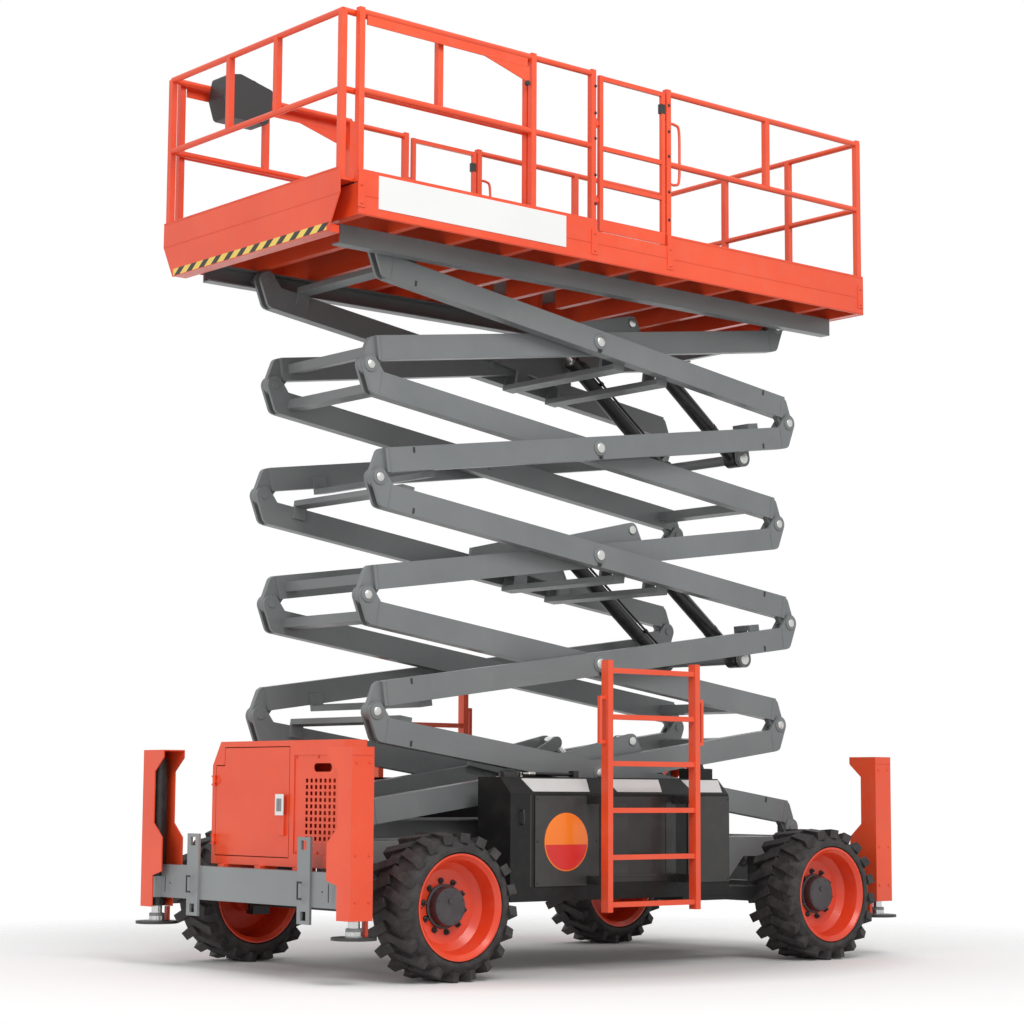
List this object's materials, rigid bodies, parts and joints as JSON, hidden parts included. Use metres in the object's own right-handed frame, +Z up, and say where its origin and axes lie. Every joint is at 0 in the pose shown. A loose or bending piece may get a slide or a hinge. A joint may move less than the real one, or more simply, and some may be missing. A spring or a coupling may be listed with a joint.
{
  "type": "rough-terrain scissor lift",
  "caption": "Rough-terrain scissor lift with outriggers, a stacked scissor mast raised part way and a railed platform with a roll-out deck.",
  "frame": {"origin": "on the ground under the middle of the wheelbase, midway between the wheels", "axes": "+X forward, towards the roll-out end of the platform, +Y to the machine's left, where the fixed pod cover is, +Z up"},
  "size_m": [4.5099, 2.34, 5.5148],
  "materials": {
    "orange_paint": "gloss enamel",
    "arm_grey": "satin enamel",
    "chassis_grey": "satin enamel",
    "black_paint": "satin enamel",
    "black_steel": "semi-gloss enamel",
    "chromed_rod": "hard chrome",
    "deck_plate": "tread plate",
    "tyre": "dull rubber"
  },
  "bodies": {
    "chassis": {"chassis_frame": "chassis_grey", "bumpers": "chassis_grey", "axles": "black_steel", "outrigger_towers": "orange_paint", "outrigger_jacks": "black_steel", "front_cabinet": "orange_paint", "cabinet_grille": "orange_paint", "side_pod_left": "black_paint", "side_pod_right": "black_paint", "engine_block": "black_steel", "ground_controls": "black_paint", "ladder_left": "orange_paint", "ladder_right": "orange_paint"},
    "knuckle_left": {"knuckle_left": "black_steel"},
    "knuckle_right": {"knuckle_right": "black_steel"},
    "wheel_front_left": {"tyre_front_left": "tyre", "rim_front_left": "orange_paint"},
    "wheel_front_right": {"tyre_front_right": "tyre", "rim_front_right": "orange_paint"},
    "wheel_rear_left": {"tyre_rear_left": "tyre", "rim_rear_left": "orange_paint"},
    "wheel_rear_right": {"tyre_rear_right": "tyre", "rim_rear_right": "orange_paint"},
    "leg_front_left": {"outrigger_leg_front_left": "chromed_rod"},
    "leg_front_right": {"outrigger_leg_front_right": "chromed_rod"},
    "leg_rear_left": {"outrigger_leg_rear_left": "chromed_rod"},
    "leg_rear_right": {"outrigger_leg_rear_right": "chromed_rod"},
    "cabinet_door": {"cabinet_door": "orange_paint"},
    "engine_door": {"engine_door": "black_paint"},
    "outer_arm_1": {"outer_arm_1": "arm_grey"},
    "inner_arm_1": {"inner_arm_1": "arm_grey"},
    "outer_arm_2": {"outer_arm_2": "arm_grey"},
    "inner_arm_2": {"inner_arm_2": "arm_grey"},
    "outer_arm_3": {"outer_arm_3": "arm_grey"},
    "inner_arm_3": {"inner_arm_3": "arm_grey"},
    "outer_arm_4": {"outer_arm_4": "arm_grey"},
    "inner_arm_4": {"inner_arm_4": "arm_grey"},
    "outer_arm_5": {"outer_arm_5": "arm_grey"},
    "inner_arm_5": {"inner_arm_5": "arm_grey"},
    "barrels_1": {"cylinder_barrels_1": "black_steel"},
    "rods_1": {"cylinder_rods_1": "chromed_rod"},
    "barrels_2": {"cylinder_barrels_2": "black_steel"},
    "rods_2": {"cylinder_rods_2": "chromed_rod"},
    "barrels_3": {"cylinder_barrels_3": "black_steel"},
    "rods_3": {"cylinder_rods_3": "chromed_rod"},
    "platform": {"platform_tracks": "arm_grey", "platform_joists": "orange_paint", "platform_fascia": "orange_paint", "platform_deck": "deck_plate", "guard_rail_left": "orange_paint", "guard_rail_right": "orange_paint", "guard_rail_rear": "orange_paint"},
    "gate_left": {"gate_left": "orange_paint"},
    "gate_right": {"gate_right": "orange_paint"},
    "rollout": {"rollout_deck": "orange_paint", "rollout_rails": "orange_paint", "platform_controls": "black_paint"}
  },
  "joints": [
    {"name": "steer_left", "type": "hinge", "parent": "chassis", "child": "knuckle_left", "pos_m": [1.5175, 0.86, 0.41], "axis": [0, 0, 1], "range_deg": [-22, 22]},
    {"name": "steer_right", "type": "hinge", "parent": "chassis", "child": "knuckle_right", "pos_m": [1.5175, -0.86, 0.41], "axis": [0, 0, 1], "range_deg": [-22, 22]},
    {"name": "roll_front_left", "type": "hinge", "parent": "knuckle_left", "child": "wheel_front_left", "pos_m": [1.5175, 0.985, 0.41], "axis": [0, 1, 0], "continuous": true},
    {"name": "roll_front_right", "type": "hinge", "parent": "knuckle_right", "child": "wheel_front_right", "pos_m": [1.5175, -0.985, 0.41], "axis": [0, 1, 0], "continuous": true},
    {"name": "roll_rear_left", "type": "hinge", "parent": "chassis", "child": "wheel_rear_left", "pos_m": [-1.5175, 0.985, 0.41], "axis": [0, 1, 0], "continuous": true},
    {"name": "roll_rear_right", "type": "hinge", "parent": "chassis", "child": "wheel_rear_right", "pos_m": [-1.5175, -0.985, 0.41], "axis": [0, 1, 0], "continuous": true},
    {"name": "extend_leg_front_left", "type": "slide", "parent": "chassis", "child": "leg_front_left", "axis": [0, 0, -1], "range_m": [0, 0.4]},
    {"name": "extend_leg_front_right", "type": "slide", "parent": "chassis", "child": "leg_front_right", "axis": [0, 0, -1], "range_m": [0, 0.4]},
    {"name": "extend_leg_rear_left", "type": "slide", "parent": "chassis", "child": "leg_rear_left", "axis": [0, 0, -1], "range_m": [0, 0.4]},
    {"name": "extend_leg_rear_right", "type": "slide", "parent": "chassis", "child": "leg_rear_right", "axis": [0, 0, -1], "range_m": [0, 0.4]},
    {"name": "open_cabinet_door", "type": "hinge", "parent": "chassis", "child": "cabinet_door", "pos_m": [2.069, -0.4905, 0.98], "axis": [0, 0, -1], "range_deg": [0, 90]},
    {"name": "open_engine_door", "type": "hinge", "parent": "chassis", "child": "engine_door", "pos_m": [0.9225, -0.964, 0.76], "axis": [0, 0, 1], "range_deg": [0, 90]},
    {"name": "lift", "type": "hinge", "parent": "chassis", "child": "outer_arm_1", "pos_m": [-1.727, 0, 0.822], "axis": [0, -1, 0], "range_deg": [-7.5, 48.8]},
    {"name": "fold_2", "type": "hinge", "parent": "outer_arm_1", "child": "outer_arm_2", "pos_m": [1.7101, 0, 1.49571], "axis": [0, 1, 0], "range_deg": [-15.2, 98]},
    {"name": "fold_3", "type": "hinge", "parent": "outer_arm_2", "child": "outer_arm_3", "pos_m": [-1.727, 0, 2.16942], "axis": [0, -1, 0], "range_deg": [-15.2, 98]},
    {"name": "fold_4", "type": "hinge", "parent": "outer_arm_3", "child": "outer_arm_4", "pos_m": [1.7101, 0, 2.84312], "axis": [0, 1, 0], "range_deg": [-15.2, 98]},
    {"name": "fold_5", "type": "hinge", "parent": "outer_arm_4", "child": "outer_arm_5", "pos_m": [-1.727, 0, 3.51683], "axis": [0, -1, 0], "range_deg": [-15.2, 98]},
    {"name": "scissor_1", "type": "hinge", "parent": "outer_arm_1", "child": "inner_arm_1", "pos_m": [-0.00845, 0, 1.15885], "axis": [0, 1, 0], "range_deg": [-15.2, 98]},
    {"name": "scissor_2", "type": "hinge", "parent": "outer_arm_2", "child": "inner_arm_2", "pos_m": [-0.00845, 0, 1.83256], "axis": [0, -1, 0], "range_deg": [-15.2, 98]},
    {"name": "scissor_3", "type": "hinge", "parent": "outer_arm_3", "child": "inner_arm_3", "pos_m": [-0.00845, 0, 2.50627], "axis": [0, 1, 0], "range_deg": [-15.2, 98]},
    {"name": "scissor_4", "type": "hinge", "parent": "outer_arm_4", "child": "inner_arm_4", "pos_m": [-0.00845, 0, 3.17998], "axis": [0, -1, 0], "range_deg": [-15.2, 98]},
    {"name": "scissor_5", "type": "hinge", "parent": "outer_arm_5", "child": "inner_arm_5", "pos_m": [-0.00845, 0, 3.85369], "axis": [0, 1, 0], "range_deg": [-15.2, 98]},
    {"name": "level_platform", "type": "hinge", "parent": "inner_arm_5", "child": "platform", "pos_m": [-1.727, 0, 4.19054], "axis": [0, -1, 0], "range_deg": [-7.7, 49]},
    {"name": "swing_barrels_1", "type": "hinge", "parent": "chassis", "child": "barrels_1", "pos_m": [-1.457, 0, 0.617], "axis": [0, -1, 0], "range_deg": [-7.55, 47.5]},
    {"name": "extend_rods_1", "type": "slide", "parent": "barrels_1", "child": "rods_1", "axis": [0.7974, 0, 0.6035], "range_m": [-0.0446, 0.2794]},
    {"name": "swing_barrels_2", "type": "hinge", "parent": "outer_arm_2", "child": "barrels_2", "pos_m": [-1.48808, 0, 1.92892], "axis": [0, -1, 0], "range_deg": [-14.05, 89.8]},
    {"name": "extend_rods_2", "type": "slide", "parent": "barrels_2", "child": "rods_2", "axis": [0.7929, 0, 0.6094], "range_m": [-0.0704, 0.4468]},
    {"name": "swing_barrels_3", "type": "hinge", "parent": "outer_arm_4", "child": "barrels_3", "pos_m": [-1.48808, 0, 3.27633], "axis": [0, -1, 0], "range_deg": [-14.05, 89.8]},
    {"name": "extend_rods_3", "type": "slide", "parent": "barrels_3", "child": "rods_3", "axis": [0.7929, 0, 0.6094], "range_m": [-0.0704, 0.4468]},
    {"name": "open_gate_left", "type": "hinge", "parent": "platform", "child": "gate_left", "pos_m": [0.311, 0.938, 4.89054], "axis": [0, 0, 1], "range_deg": [0, 90]},
    {"name": "open_gate_right", "type": "hinge", "parent": "platform", "child": "gate_right", "pos_m": [0.311, -0.938, 4.89054], "axis": [0, 0, -1], "range_deg": [0, 90]},
    {"name": "roll_out_deck", "type": "slide", "parent": "platform", "child": "rollout", "axis": [1, 0, 0], "range_m": [0, 1.2]}
  ],
  "couplings": [
    {"joint": "steer_right", "follows": "steer_left", "ratio": 1},
    {"joint": "fold_2", "follows": "lift", "ratio": 2},
    {"joint": "fold_3", "follows": "lift", "ratio": 2},
    {"joint": "fold_4", "follows": "lift", "ratio": 2},
    {"joint": "fold_5", "follows": "lift", "ratio": 2},
    {"joint": "scissor_1", "follows": "lift", "ratio": 2},
    {"joint": "scissor_2", "follows": "lift", "ratio": 2},
    {"joint": "scissor_3", "follows": "lift", "ratio": 2},
    {"joint": "scissor_4", "follows": "lift", "ratio": 2},
    {"joint": "scissor_5", "follows": "lift", "ratio": 2},
    {"joint": "level_platform", "follows": "lift", "ratio": 1},
    {"joint": "swing_barrels_1", "follows": "lift", "ratio": 0.96718},
    {"joint": "extend_rods_1", "follows": "lift", "m_per_rad": 0.32574},
    {"joint": "swing_barrels_2", "follows": "lift", "ratio": 1.8339},
    {"joint": "extend_rods_2", "follows": "lift", "m_per_rad": 0.52229},
    {"joint": "swing_barrels_3", "follows": "lift", "ratio": 1.8339},
    {"joint": "extend_rods_3", "follows": "lift", "m_per_rad": 0.52229}
  ]
}
